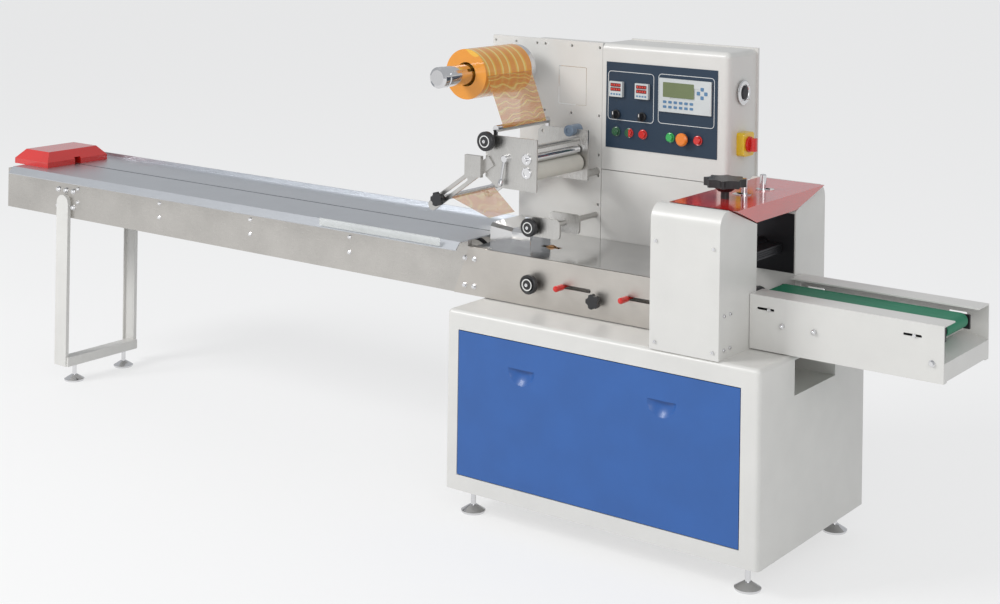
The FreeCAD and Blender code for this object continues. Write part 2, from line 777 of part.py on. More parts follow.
def tunnel_ring(x, half, height, inset):
    corners = [
        (-half + inset, 0.0 if inset == 0 else -1.0),
        (half - inset, 0.0 if inset == 0 else -1.0),
        (half - inset, height - inset - 10.0),
        (half - inset - 10.0, height - inset),
        (-half + inset + 10.0, height - inset),
        (-half + inset, height - inset - 10.0),
    ]
    points = [FreeCAD.Vector(x, line_y + y, table_top + z) for y, z in corners]
    return Part.makePolygon(points + points[:1])


def tunnel(inset, ends):
    stations = [
        (former_x[0] - ends, mouth_half_width, mouth_height),
        (throat_x, former_half, former_height),
    ]
    shoulder = Part.makeLoft([tunnel_ring(x, half, height, inset) for x, half, height in stations], True, True)
    stations = [(throat_x, former_half, former_height), (former_x[1] + ends, former_half, former_height)]
    straight = Part.makeLoft([tunnel_ring(x, half, height, inset) for x, half, height in stations], True, True)
    return shoulder.fuse(straight)


add("forming_box", tunnel(0, 0).cut(tunnel(former_wall, 1.0)).removeSplitter())

# Two round-cornered plates on a rod from the panel hold the forming box's setting.
holder_x = (118.0, 232.0)
holder_z = (table_top + 44.0, table_top + 104.0)
holder_rod = 9.0
holder_y = (line_y - 78.0, line_y + 30.0)
rod_x = (holder_x[0] + holder_x[1]) / 2
rod_z = (holder_z[0] + holder_z[1]) / 2
carrier = rod(Y, (rod_x, holder_y[0], rod_z), holder_rod, panel_front - holder_y[0])
for y in holder_y:
    side = block(holder_x, (y, y + 7.0), holder_z)
    side = rounded(side, 14.0, lambda low, high: high.y - low.y > 5)
    carrier = carrier.fuse(side)
add("former_holder", carrier.removeSplitter())
wheel = turned(Y * -1, (holder_x[0] + 16.0, holder_y[0], rod_z), [
    (play, 7.0),
    (10.0, 7.0),
    (10.0, 12.0),
    (14.0, 25.0),
    (17.0, 28.0),
    (28.0, 28.0),
    (31.0, 25.0),
])
add("former_handwheel", wheel)

# The fin wheels stand in the table slot on one short shaft.
fin_radius = 25.0
fin_z = table_top - 19.0
fin = turned(Y, (wheel_x, line_y, fin_z), [
    (-22.0, 5.0),
    (-7.0, 5.0),
    (-7.0, fin_radius),
    (-3.0, fin_radius),
    (-3.0, 9.0),
    (3.0, 9.0),
    (3.0, fin_radius),
    (7.0, fin_radius),
    (7.0, 5.0),
    (22.0, 5.0),
])
add("fin_wheels", fin)

# -------------------------------------------------------------------- end sealer
# Two rounded housings straddle the line. The cover between them is a hopper-shaped
# tray whose ends overhang, and the crimping jaws turn in the tunnel below.
sealer_top = table_top + 249.0
tunnel_half = 119.0
tunnel_front = line_y - tunnel_half
tunnel_back = line_y + tunnel_half
shoulder_z = sealer_top - 60.0
shoulder_radius = 46.0
sealer_back = cabinet_depth - 20.0
tray_inset = 46.0


def sealer_housing(outer, inner, toward):
    """A housing whose inner top corner slopes down to the tunnel."""
    slope_top = outer + toward * tray_inset
    corners = [
        (outer, cabinet_top),
        (outer, sealer_top),
        (slope_top + toward * 2.0, sealer_top),
        (inner, shoulder_z),
        (inner, cabinet_top),
    ]
    solid = prism(X, (sealer_start, sealer_end), corners)

    def outer_corner(low, high):
        return high.x - low.x > 100 and low.z > sealer_top - 1 and abs(low.y - outer) < 1

    return rounded(solid, shoulder_radius - 2.0, outer_corner)


front_housing = sealer_housing(0.0, tunnel_front, 1)
rear_housing = sealer_housing(sealer_back, tunnel_back, -1)
jaw_x = (sealer_start + sealer_end) / 2
jaw_reach = 70.0
jaw_core = 26.0
jaw_shaft = 14.0
nip_level = table_top + 7.0
jaw_levels = {"jaw_upper": nip_level + jaw_reach + 3.0, "jaw_lower": nip_level - jaw_reach - 3.0}
bearing_depth = 30.0
for z in jaw_levels.values():
    front_housing = front_housing.cut(
        rod(Y, (jaw_x, tunnel_front - bearing_depth - 2.0, z), jaw_shaft + 0.05, bearing_depth + 3.0))
    rear_housing = rear_housing.cut(
        rod(Y, (jaw_x, tunnel_back - 1.0, z), jaw_shaft + 0.05, bearing_depth + 3.0))
add("sealer_front_housing", front_housing)
add("sealer_rear_housing", rear_housing)

tray_bottom = corners_of((sealer_start + 6.0, sealer_end), (tunnel_front - 3.0, tunnel_back + 3.0), 0)
tray_top = corners_of((sealer_start + 26.0, sealer_end + 23.0), (tray_inset + 6.0, sealer_back - tray_inset - 6.0), 0)
low = Part.makePolygon([FreeCAD.Vector(x, y, shoulder_z + 4.0) for x, y in tray_bottom])
high = Part.makePolygon([FreeCAD.Vector(x, y, sealer_top + 1.0) for x, y in tray_top])
tray = Part.makeLoft([low, high], True, True)
hand_x = jaw_x + 12.0
hand_y = line_y - 130.0
stud_radius = 9.5
studs = ((jaw_x + 22.0, line_y - 36.0), (jaw_x + 30.0, line_y + 64.0))
tray = tray.cut(rod(Z, (hand_x, hand_y, shoulder_z - 10.0), 12.1, 120.0))
add("sealer_cover", tray)
add("sealer_studs", *[turned(Z, (x, y, sealer_top + 1.0), [
    (0.0, 21.0),
    (3.0, 21.0),
    (3.0, stud_radius),
    (43.0, stud_radius),
    (45.0, stud_radius - 2.0),
]) for x, y in studs])

hand_radius = 60.0
hand_z = sealer_top + 36.0
hand = lobed_knob(Z, (hand_x, hand_y, hand_z), hand_radius, 22.0, 8)
hand = hand.fuse(rod(Z, (hand_x, hand_y, sealer_top - 4.0), 12.0, hand_z - sealer_top + 14.0))
hand = hand.fuse(turned(Z, (hand_x, hand_y, hand_z), [(-14.0, 20.0), (0.0, 36.0), (8.0, 36.0)]))
add("sealer_handwheel", hand.removeSplitter())

# Each jaw is a shaft with two opposed crimping blades, level at rest.
blade_half = 13.0
blade_y = (tunnel_front + 8.0, tunnel_back - 8.0)
for name, z in jaw_levels.items():
    jaw = rod(Y, (jaw_x, tunnel_front - bearing_depth, z), jaw_shaft, 2 * (tunnel_half + bearing_depth))
    jaw = jaw.fuse(rod(Y, (jaw_x, blade_y[0], z), jaw_core, blade_y[1] - blade_y[0]))
    jaw = jaw.fuse(block((jaw_x - jaw_reach, jaw_x + jaw_reach), blade_y, (z - blade_half, z + blade_half)))
    for side in (-1, 1):
        tip = jaw_x + side * jaw_reach
        for rise in (-6.0, 0.0, 6.0):
            groove = block((tip - 2.0, tip + 2.0), (blade_y[0] - 1, blade_y[1] + 1), (z + rise - 1.0, z + rise + 1.0))
            jaw = jaw.cut(groove)
    add(name, jaw.removeSplitter())

# ------------------------------------------------------------- outfeed conveyor
# Folded side plates with broad top flanges, a belt round two rollers between
# them and a sloped plate across the open end.
outfeed_top = table_top + 3.0
outfeed_flange = 75.0
outfeed_x = (sealer_end + 2.0, outfeed_end)
belt_half = 70.0
belt_thickness = 2.5
belt_radius = 20.0
belt_top = outfeed_top - 15.0
belt_z = belt_top - belt_radius
belt_x = (sealer_end - 4.0, outfeed_end - 45.0)
adjust_slots = ((outfeed_x[0] + 22.0, outfeed_x[0] + 75.0), (outfeed_end - 112.0, outfeed_end - 60.0))


def outfeed_side(outer_y, inward):
    back_y = outer_y + inward * plate
    top_y = outer_y + inward * outfeed_flange
    low_y = outer_y + inward * flange
    corners = [
        (outer_y, frame_bottom),
        (low_y, frame_bottom),
        (low_y, frame_bottom + plate),
        (back_y, frame_bottom + plate),
        (back_y, outfeed_top - plate),
        (top_y, outfeed_top - plate),
        (top_y, outfeed_top),
        (outer_y, outfeed_top),
    ]
    side = prism(X, outfeed_x, corners)
    reach = sorted((outer_y - inward, back_y + inward))
    for span in adjust_slots:
        side = side.cut(slot(span, outfeed_top - 36.0, 7.0, reach))
    return side


end_slope = [
    (outfeed_end - 70.0, frame_bottom + 66.0),
    (outfeed_end - plate, frame_bottom + 48.0),
    (outfeed_end - plate, frame_bottom + plate),
    (outfeed_end, frame_bottom + plate),
    (outfeed_end, frame_bottom + 52.0),
    (outfeed_end - 70.0, frame_bottom + 70.0),
]
end_sheet = prism(Y, (frame_front + plate, frame_back - plate), end_slope)
outfeed = outfeed_side(frame_front, 1).fuse([outfeed_side(frame_back, -1), end_sheet])
add("outfeed_frame", outfeed.removeSplitter())

belt_y = (line_y - belt_half, line_y + belt_half)
belt = stadium(belt_x, belt_z, belt_radius, belt_y)
inner_radius = belt_radius - belt_thickness
belt = belt.cut(stadium(belt_x, belt_z, inner_radius, (belt_y[0] - 1, belt_y[1] + 1)))
add("outfeed_belt", belt)
rollers = []
for x in belt_x:
    rollers.append(turned(Y, (x, 0, belt_z), [
        (belt_y[0] - 12.0, 6.0),
        (belt_y[0] + 1.0, 6.0),
        (belt_y[0] + 1.0, inner_radius - play),
        (belt_y[1] - 1.0, inner_radius - play),
        (belt_y[1] - 1.0, 6.0),
        (belt_y[1] + 12.0, 6.0),
    ]))
add("outfeed_rollers", *rollers)
side_bars = []
for y in (belt_y[0] - 20.0, belt_y[1] + 12.0):
    side_bars.append(block((belt_x[0] - 20.0, belt_x[1] + 20.0), (y, y + 8.0), (belt_z - 24.0, belt_z + 14.0)))
add("outfeed_bed_rails", *side_bars)

# --------------------------------------------------------------- fitted recesses
# The jog button's stem runs in a bore through the panel sheet and into the box,
# a little wider than the stem and deeper than its travel.
jog_bore_radius = 9.5
jog_bore_depth = 12.0
jog_middle = pieces["jog_button"].BoundBox.Center
jog_bore = rod(Y, (jog_middle.x, face_y - 1.0, jog_middle.z), jog_bore_radius, jog_bore_depth)
for name in ("control_plate", "control_box"):
    pieces[name] = pieces[name].cut(jog_bore)

# The infeed's side plates are notched round the end of the work table.
pieces["infeed_frame"] = pieces["infeed_frame"].cut(pieces["work_table"])


# ---------------------------------------------------------------------- export
# The finished machine is moved so that the middle of its footprint is the origin.
to_origin = FreeCAD.Vector(-(infeed_start + outfeed_end) / 2, -box_back / 2, 0)
os.makedirs("parts", exist_ok=True)
for name, shape in pieces.items():
    placed = shape.copy()
    placed.translate(to_origin)
    placed.exportStep("parts/" + name + ".step")
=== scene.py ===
import math

import bmesh
import bpy
from mathutils import Matrix, Vector


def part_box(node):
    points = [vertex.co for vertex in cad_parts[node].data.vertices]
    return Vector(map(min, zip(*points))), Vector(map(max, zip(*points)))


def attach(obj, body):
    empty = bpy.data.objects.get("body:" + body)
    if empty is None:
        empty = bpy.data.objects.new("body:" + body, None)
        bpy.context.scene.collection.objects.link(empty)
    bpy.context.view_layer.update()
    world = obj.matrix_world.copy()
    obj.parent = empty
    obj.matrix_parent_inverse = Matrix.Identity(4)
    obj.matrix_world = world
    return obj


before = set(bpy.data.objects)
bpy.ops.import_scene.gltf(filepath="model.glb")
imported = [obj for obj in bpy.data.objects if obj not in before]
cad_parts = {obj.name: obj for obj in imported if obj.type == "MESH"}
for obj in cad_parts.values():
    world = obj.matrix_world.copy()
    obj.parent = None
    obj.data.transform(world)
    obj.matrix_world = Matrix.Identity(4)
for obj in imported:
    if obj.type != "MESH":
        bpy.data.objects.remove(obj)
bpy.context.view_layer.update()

# ---------------------------------------------------------------- enamel
# The closed housings are folded sheet steel, powder coated white, with a blue
# cabinet door and red covers. The coat is slightly uneven in tone and has a
# fine orange-peel skin.
MM = 0.001
blotch_size = 9.0
coat_roughness = 0.12
relief_depth = 0.6 * MM


def noise_group(name, output):
    """A named effect with size and contrast inputs that puts out one value."""
    group = bpy.data.node_groups.new(name, "ShaderNodeTree")
    for label, value in (("Size", 20.0), ("Low", 0.0), ("High", 1.0)):
        socket = group.interface.new_socket(label, in_out="INPUT", socket_type="NodeSocketFloat")
        socket.default_value = value
    group.interface.new_socket(output, in_out="OUTPUT", socket_type="NodeSocketFloat")
    return group


def stretched_noise(name, output, stretch, detail):
    """Noise in object space, stretched along the axes, mapped from Low to High."""
    group = noise_group(name, output)
    nodes, links = group.nodes, group.links
    inside = nodes.new("NodeGroupInput")
    outside = nodes.new("NodeGroupOutput")
    place = nodes.new("ShaderNodeTexCoord")
    mapping = nodes.new("ShaderNodeMapping")
    mapping.inputs["Scale"].default_value = stretch
    noise = nodes.new("ShaderNodeTexNoise")
    noise.inputs["Detail"].default_value = detail
    spread = nodes.new("ShaderNodeMapRange")
    spread.inputs["From Min"].default_value = 0.3
    spread.inputs["From Max"].default_value = 0.7
    links.new(place.outputs["Object"], mapping.inputs["Vector"])
    links.new(mapping.outputs["Vector"], noise.inputs["Vector"])
    links.new(inside.outputs["Size"], noise.inputs["Scale"])
    links.new(noise.outputs["Fac"], spread.inputs["Value"])
    links.new(inside.outputs["Low"], spread.inputs["To Min"])
    links.new(inside.outputs["High"], spread.inputs["To Max"])
    links.new(spread.outputs["Result"], outside.inputs[output])
    return group


mottle = stretched_noise("surface_mottle", "Mottle", (1.0, 1.0, 1.0), 4.0)
brushing_along = stretched_noise("brushing_along", "Grain", (0.03, 1.0, 1.0), 3.0)
brushing_up = stretched_noise("brushing_up", "Grain", (1.0, 1.0, 0.04), 3.0)


def place_group(material, group, size, low, high):
    """Puts an effect into a material and gives its output socket."""
    node = material.node_tree.nodes.new("ShaderNodeGroup")
    node.node_tree = group
    node.inputs["Size"].default_value = size
    node.inputs["Low"].default_value = low
    node.inputs["High"].default_value = high
    return node.outputs[0]


def surface(name, colour, rough, metal=0.0, coat=0.0, shade=0.06, grain=None,
            grain_size=300.0, bump=0.05, rough_spread=0.06):
    """A procedural material: the colour varies by a few percent over the surface,
    and the roughness and the fine relief follow the same grain."""
    material = bpy.data.materials.new(name)
    material.use_nodes = True
    nodes, links = material.node_tree.nodes, material.node_tree.links
    shader = nodes["Principled BSDF"]
    shader.inputs["Metallic"].default_value = metal
    shader.inputs["Coat Weight"].default_value = coat
    shader.inputs["Coat Roughness"].default_value = coat_roughness
    blotch = place_group(material, mottle, blotch_size, 0.0, 1.0)
    mix = nodes.new("ShaderNodeMix")
    mix.data_type = "RGBA"
    mix.inputs["A"].default_value = (*[c * (1.0 - shade) for c in colour], 1.0)
    mix.inputs["B"].default_value = (*[min(1.0, c * (1.0 + shade)) for c in colour], 1.0)
    links.new(blotch, mix.inputs["Factor"])
    links.new(mix.outputs["Result"], shader.inputs["Base Color"])
    fine = grain or mottle
    rough_value = place_group(material, fine, grain_size, rough - rough_spread, rough + rough_spread)
    links.new(rough_value, shader.inputs["Roughness"])
    relief = nodes.new("ShaderNodeBump")
    relief.inputs["Strength"].default_value = bump
    relief.inputs["Distance"].default_value = relief_depth
    height = place_group(material, fine, grain_size, 0.0, 1.0)
    links.new(height, relief.inputs["Height"])
    links.new(relief.outputs["Normal"], shader.inputs["Normal"])
    return material


def dress(material, *names):
    """Gives CAD nodes a material; their meshes stay as they are."""
    for name in names:
        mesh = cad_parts[name].data
        mesh.materials.clear()
        mesh.materials.append(material)


def soften(width, *names):
    """Rounds the edges of folded or machined pieces by a small bevel."""
    for name in names:
        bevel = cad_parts[name].modifiers.new("edge", "BEVEL")
        bevel.width = width
        bevel.segments = 3
        bevel.limit_method = "ANGLE"
        bevel.angle_limit = math.radians(40)
        bevel.harden_normals = True


white_coat = surface("white_powder_coat", (0.70, 0.69, 0.66), 0.36, coat=0.15, shade=0.025,
                     grain_size=420.0, bump=0.06)
blue_coat = surface("blue_powder_coat", (0.020, 0.105, 0.36), 0.38, coat=0.2, shade=0.05,
                    grain_size=420.0, bump=0.08)
red_gloss = surface("red_gloss_paint", (0.62, 0.018, 0.014), 0.18, coat=0.8, shade=0.06,
                    grain_size=60.0, bump=0.02)
dress(white_coat, "cabinet_shell", "drive_housing", "table_body", "back_panel", "lower_panel",
      "control_box", "sealer_front_housing", "sealer_rear_housing", "outfeed_frame", "leg_frame")
dress(blue_coat, "cabinet_door")
dress(red_gloss, "infeed_end_cover", "sealer_cover")
soften(1.5 * MM, "control_box", "back_panel", "lower_panel", "drive_housing", "table_body")

# ---------------------------------------------------------------- bare metal
# The table, bed, fascia and film path are stainless sheet, brushed along the
# machine. Rollers, spindle and feet are turned and plated or polished.
brushed = surface("brushed_stainless", (0.55, 0.53, 0.50), 0.34, metal=1.0, grain=brushing_along,
                  grain_size=900.0, bump=0.12, rough_spread=0.10)
bed_steel = surface("bed_stainless", (0.62, 0.64, 0.67), 0.36, metal=1.0, shade=0.02,
                    grain=brushing_along, grain_size=1400.0, bump=0.03, rough_spread=0.04)
fascia_steel = surface("fascia_stainless", (0.58, 0.55, 0.51), 0.42, metal=1.0, grain=brushing_along,
                       grain_size=700.0, bump=0.12, rough_spread=0.08)
mirror_steel = surface("polished_table", (0.66, 0.66, 0.66), 0.12, metal=1.0,
                       grain=brushing_along, grain_size=500.0, bump=0.03, rough_spread=0.05)
plate_steel = surface("brushed_upright_plate", (0.56, 0.55, 0.53), 0.33, metal=1.0,
                      grain=brushing_up, grain_size=900.0, bump=0.12, rough_spread=0.10)
chrome = surface("bright_chrome", (0.72, 0.72, 0.73), 0.10, metal=1.0, grain_size=120.0,
                 bump=0.01, rough_spread=0.03)
blackened = surface("blackened_steel", (0.045, 0.045, 0.05), 0.42, metal=0.8, grain_size=220.0)
bronze = surface("bronze", (0.55, 0.30, 0.14), 0.35, metal=1.0)
dress(brushed, "infeed_frame", "infeed_bearers")
dress(bed_steel, "infeed_bed")
dress(fascia_steel, "fascia_panel")
dress(mirror_steel, "work_table", "forming_box")
dress(plate_steel, "pull_frame", "tension_arms", "former_holder")
dress(chrome, "reel_spindle", "nip_roller", "guide_bars", "levelling_feet", "outfeed_rollers",
      "sealer_studs")
dress(blackened, "infeed_chain", "jaw_upper", "jaw_lower", "outfeed_bed_rails")
dress(bronze, "fin_wheels")

# ---------------------------------------------------------------- plastics
# Handwheels and knobs are moulded black plastic. The control panel is a dark
# navy sheet with instruments, dials and round buttons set into it.
black = surface("moulded_black", (0.022, 0.022, 0.024), 0.36, grain_size=300.0)
navy = surface("navy_panel", (0.012, 0.032, 0.062), 0.42, grain_size=500.0)
pale_grey = surface("instrument_grey", (0.60, 0.63, 0.63), 0.45)
red_sleeve = surface("red_sleeve", (0.66, 0.02, 0.015), 0.28, coat=0.4)
yellow = surface("yellow_base", (0.82, 0.55, 0.02), 0.32, coat=0.3)
orange = surface("orange_button", (0.86, 0.22, 0.015), 0.25, coat=0.4)
belt_green = surface("green_belt", (0.012, 0.20, 0.105), 0.55, grain=brushing_along,
                     grain_size=400.0, bump=0.2)
pale_rubber = surface("pale_rubber", (0.66, 0.64, 0.57), 0.6)
dress(black, "pull_handwheel", "arm_knob", "former_handwheel", "fascia_handwheel",
      "fascia_star_knob", "sealer_handwheel", "selector_left", "selector_right")
dress(navy, "control_plate")
dress(pale_grey, "display_unit", "temperature_controllers")
dress(red_sleeve, "fascia_lever_left", "fascia_lever_right", "switch_handle")
dress(yellow, "switch_base")
dress(orange, "jog_button")
dress(belt_green, "outfeed_belt")
dress(pale_rubber, "drive_roller")

# ---------------------------------------------------------------- push buttons
# Five moulded caps in metal bezels. The solids share one CAD node, so each cap
# takes its colour from where it sits along the row.
cap_colours = ((0.02, 0.10, 0.04), (0.62, 0.02, 0.015), (0.02, 0.02, 0.02),
               (0.03, 0.40, 0.09), (0.62, 0.02, 0.015))


def row_material(name, axis_low, axis_high, colours, rough):
    """Steps through colours along x between two places on the object."""
    material = surface(name, colours[0], rough, coat=0.4)
    nodes, links = material.node_tree.nodes, material.node_tree.links
    place = nodes.new("ShaderNodeTexCoord")
    split = nodes.new("ShaderNodeSeparateXYZ")
    spread = nodes.new("ShaderNodeMapRange")
    spread.inputs["From Min"].default_value = axis_low
    spread.inputs["From Max"].default_value = axis_high
    steps = nodes.new("ShaderNodeValToRGB")
    steps.color_ramp.interpolation = "CONSTANT"
    while len(steps.color_ramp.elements) < len(colours):
        steps.color_ramp.elements.new(0.5)
    for index, colour in enumerate(colours):
        steps.color_ramp.elements[index].position = index / len(colours)
        steps.color_ramp.elements[index].color = (*colour, 1.0)
    links.new(place.outputs["Object"], split.inputs["Vector"])
    links.new(split.outputs["X"], spread.inputs["Value"])
    links.new(spread.outputs["Result"], steps.inputs["Fac"])
    links.new(steps.outputs["Color"], nodes["Principled BSDF"].inputs["Base Color"])
    return material


row_low, row_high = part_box("push_buttons")
dress(row_material("button_caps", row_low.x, row_high.x, cap_colours, 0.28), "push_buttons")

# ---------------------------------------------------------------- film
# Clear film printed with plain bands runs from the reel over the bars to the
# former. On the roll the layers overlap, so the print reads as solid colour.
film_colours = ((0.78, 0.30, 0.03), (0.84, 0.46, 0.05), (0.86, 0.66, 0.20), (0.80, 0.34, 0.04))


def printed(name, across, alpha, bands, blend_size):
    """A generic wavy band print; across is the axis that the bands cross."""
    material = surface(name, film_colours[0], 0.22, coat=0.5, grain_size=80.0)
    nodes, links = material.node_tree.nodes, material.node_tree.links
    shader = nodes["Principled BSDF"]
    place = nodes.new("ShaderNodeTexCoord")
    wave = nodes.new("ShaderNodeTexWave")
    wave.bands_direction = across
    wave.inputs["Scale"].default_value = bands
    wave.inputs["Distortion"].default_value = blend_size
    wave.inputs["Detail"].default_value = 1.0
    ramp = nodes.new("ShaderNodeValToRGB")
    ramp.color_ramp.interpolation = "CONSTANT"
    while len(ramp.color_ramp.elements) < len(film_colours):
        ramp.color_ramp.elements.new(0.5)
    for index, colour in enumerate(film_colours):
        ramp.color_ramp.elements[index].position = index / len(film_colours)
        ramp.color_ramp.elements[index].color = (*colour, 1.0)
    links.new(place.outputs["Object"], wave.inputs["Vector"])
    links.new(wave.outputs["Fac"], ramp.inputs["Fac"])
    links.new(ramp.outputs["Color"], shader.inputs["Base Color"])
    shader.inputs["Alpha"].default_value = alpha
    return material


dress(printed("film_roll_print", "Y", 1.0, 4.0, 2.5), "film_roll")
dress(printed("film_web_print", "Z", 0.42, 9.0, 9.0), "film_web")


def link_piece(name, mesh_maker, material, body="machine"):
    """Makes one shown piece from a bmesh builder and lets it ride a body."""
    mesh = bpy.data.meshes.new(name)
    work = bmesh.new()
    mesh_maker(work)
    bmesh.ops.recalc_face_normals(work, faces=work.faces)
    work.to_mesh(mesh)
    work.free()
    mesh.materials.append(material)
    piece = bpy.data.objects.new(name, mesh)
    bpy.context.scene.collection.objects.link(piece)
    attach(piece, body)
    return piece


def ring_of(work, centre, direction, radius, sides, turn=0.0):
    """A ring of points round a line."""
    axis = Vector(direction).normalized()
    across = axis.orthogonal().normalized()
    points = []
    for index in range(sides):
        angle = turn + 2.0 * math.pi * index / sides
        spoke = Matrix.Rotation(angle, 3, axis) @ across
        points.append(work.verts.new(Vector(centre) + spoke * radius))
    return points


def turned_profile(work, foot, direction, profile, sides=32, turn=0.0):
    """Revolves (distance, radius) steps round a line and closes both ends."""
    axis = Vector(direction).normalized()
    rings = [ring_of(work, Vector(foot) + axis * along, axis, radius, sides, turn)
             for along, radius in profile]
    for lower, upper in zip(rings, rings[1:]):
        for index in range(sides):
            after = (index + 1) % sides
            work.faces.new((lower[index], lower[after], upper[after], upper[index]))
    work.faces.new(rings[0][::-1])
    work.faces.new(rings[-1])


def bolt(work, foot, direction, size):
    """A hexagon head with a chamfered top on a thin washer."""
    axis = Vector(direction).normalized()
    turned_profile(work, foot, axis, [(0.0, size * 1.25), (size * 0.22, size * 1.25),
                                      (size * 0.25, size * 1.15)], 24)
    turned_profile(work, Vector(foot) + axis * size * 0.25, axis,
                   [(0.0, size), (size * 0.7, size), (size * 0.85, size * 0.86)], 6)


def dome_nut(work, foot, direction, size):
    """A hexagon foot with a round cap."""
    axis = Vector(direction).normalized()
    turned_profile(work, foot, axis, [(0.0, size), (size * 0.6, size)], 6)
    cap = [(size * (0.6 + 0.9 * math.sin(step * math.pi / 12)),
            size * 0.88 * math.cos(step * math.pi / 12)) for step in range(6)]
    turned_profile(work, foot, axis, cap, 24)


def cap_screw(work, foot, direction, size):
    """A round head with a soft rim and a sunk drive."""
    turned_profile(work, foot, direction, [(0.0, size), (size * 0.8, size), (size * 0.95, size * 0.9),
                                           (size * 0.95, size * 0.5), (size * 0.5, size * 0.45)], 24)


def bolts(name, maker, places, direction, size, material=None):
    """One piece that holds a set of like fasteners."""
    def build(work):
        for place in places:
            maker(work, place, direction, size)
    return link_piece(name, build, material or chrome)


front = (0.0, -1.0, 0.0)
infeed_low, infeed_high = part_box("infeed_frame")
outfeed_low, outfeed_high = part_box("outfeed_frame")
fascia_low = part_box("fascia_panel")[0]
leg_low, leg_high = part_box("leg_frame")

# The infeed side plate is bolted to the leg by two rows, three bolts in each.
leg_middle = (leg_low.x + leg_high.x) / 2
bolts("infeed_leg_bolts", bolt,
      [(leg_middle + offset * MM, infeed_low.y, infeed_low.z + height * MM)
       for height in (40.0, 100.0) for offset in (-42.0, 0.0, 42.0)], front, 8.0 * MM)
# More bolts join the plates at the fascia and the outfeed.
bolts("fascia_bolts", bolt,
      [(fascia_low.x + offset * MM, fascia_low.y, fascia_low.z + height * MM)
       for offset, height in ((42.0, 28.0), (42.0, 112.0), (78.0, 28.0), (78.0, 112.0))],
      front, 6.5 * MM)
bolts("outfeed_dome_nuts", dome_nut,
      [(outfeed_high.x - offset * MM, outfeed_low.y, outfeed_low.z + 76.0 * MM)
       for offset in (460.0, 365.0)], front, 8.0 * MM)
bolts("outfeed_end_bolt", bolt,
      [(outfeed_high.x - 32.0 * MM, outfeed_low.y, outfeed_low.z + 50.0 * MM)], front, 7.0 * MM)
bolts("outfeed_slot_screws", cap_screw,
      [(outfeed_low.x + offset * MM, outfeed_low.y - 0.5 * MM, outfeed_high.z - 36.0 * MM)
       for offset in (60.0, 480.0)], front, 5.0 * MM)

# Pairs of bolts along the side plate hold the bearers of the bed.
bolts("infeed_side_bolts", bolt,
      [(infeed_high.x - offset * MM, infeed_low.y, infeed_low.z + height * MM)
       for offset in (560.0, 1010.0, 1460.0, 1900.0) for height in (62.0, 112.0)],
      front, 5.5 * MM)

# ---------------------------------------------------------------- sealer bolts
# The front sealer housing is held by screws on its front and its outfeed side.
sealer_low, sealer_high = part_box("sealer_front_housing")
bolts("sealer_side_screws", cap_screw,
      [(sealer_high.x, sealer_low.y + offset * MM, sealer_low.z + height * MM)
       for offset in (26.0, 60.0) for height in (26.0, 118.0)], (1.0, 0.0, 0.0), 5.0 * MM)
bolts("sealer_front_screws", cap_screw,
      [(sealer_low.x + offset * MM, sealer_low.y, sealer_low.z + height * MM)
       for offset in (18.0, 199.0) for height in (22.0, 300.0)], front, 4.5 * MM)

# Pale rings lie under the studs that hold the cover. A blackened sheet behind the jaws is painted shade:
# it stands in for the shade inside the tunnel between the housings.
white_plastic = surface("white_inlay", (0.78, 0.78, 0.76), 0.4)
stud_low, stud_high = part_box("sealer_studs")
stud_inset = 8.0 * MM
stud_feet = ((stud_low.x + stud_inset, stud_low.y + stud_inset, stud_low.z),
             (stud_high.x - stud_inset, stud_high.y - stud_inset, stud_low.z))
link_piece("stud_rings", lambda work: [
    turned_profile(work, foot, (0.0, 0.0, 1.0),
                   [(0.0, 15.0 * MM), (2.0 * MM, 15.0 * MM), (3.0 * MM, 13.5 * MM)], 40)
    for foot in stud_feet], white_plastic)


def sheet_plate(work, low, high):
    """A thin plate between two corners."""
    corners = [work.verts.new((x, y, z)) for x in (low[0], high[0])
               for y in (low[1], high[1]) for z in (low[2], high[2])]
    for face in ((0, 1, 3, 2), (4, 6, 7, 5), (0, 4, 5, 1), (2, 3, 7, 6), (0, 2, 6, 4), (1, 5, 7, 3)):
        work.faces.new([corners[index] for index in face])


rear_low, rear_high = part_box("sealer_rear_housing")
tunnel_floor = 772.0 * MM
tunnel_roof = 944.0 * MM
# Painted shade: this dark sheet darkens the tunnel where there is only shade.
link_piece("tunnel_painted_shade", lambda work: sheet_plate(
    work, (rear_low.x + 12.0 * MM, rear_low.y - 1.0 * MM, tunnel_floor),
    (rear_high.x - 4.0 * MM, rear_low.y + 0.5 * MM, tunnel_roof)), blackened)

# ---------------------------------------------------------------- handwheel rings
# A white ring is let into the face of each handwheel, and the hub carries a
# bright screw. Both turn with the wheel.
def wheel_ring(name, node, body, share):
    """A thin white ring and a screw on the front face of a handwheel."""
    low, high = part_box(node)
    middle = (low + high) / 2
    radius = (high.x - low.x) / 2 * share
    foot = (middle.x, low.y + 0.6 * MM, middle.z)

    def ring(work):
        inner = radius * 0.84
        turned_profile(work, foot, front, [(0.0, radius), (1.4 * MM, radius * 0.99),
                                           (1.4 * MM, inner), (0.2 * MM, inner * 0.99)], 48)

    def screw(work):
        cap_screw(work, (middle.x, low.y + 1.0 * MM, middle.z), front, radius * 0.3)
    link_piece(f"{name}_ring", ring, white_plastic, body)
    link_piece(f"{name}_screw", screw, chrome, body)


for wheel_name, wheel_node, wheel_body in (
        ("pull_wheel", "pull_handwheel", "pull_wheel"),
        ("former_wheel", "former_handwheel", "former_wheel"),
        ("phase_wheel", "fascia_handwheel", "phase_wheel")):
    wheel_ring(wheel_name, wheel_node, wheel_body, 0.62)

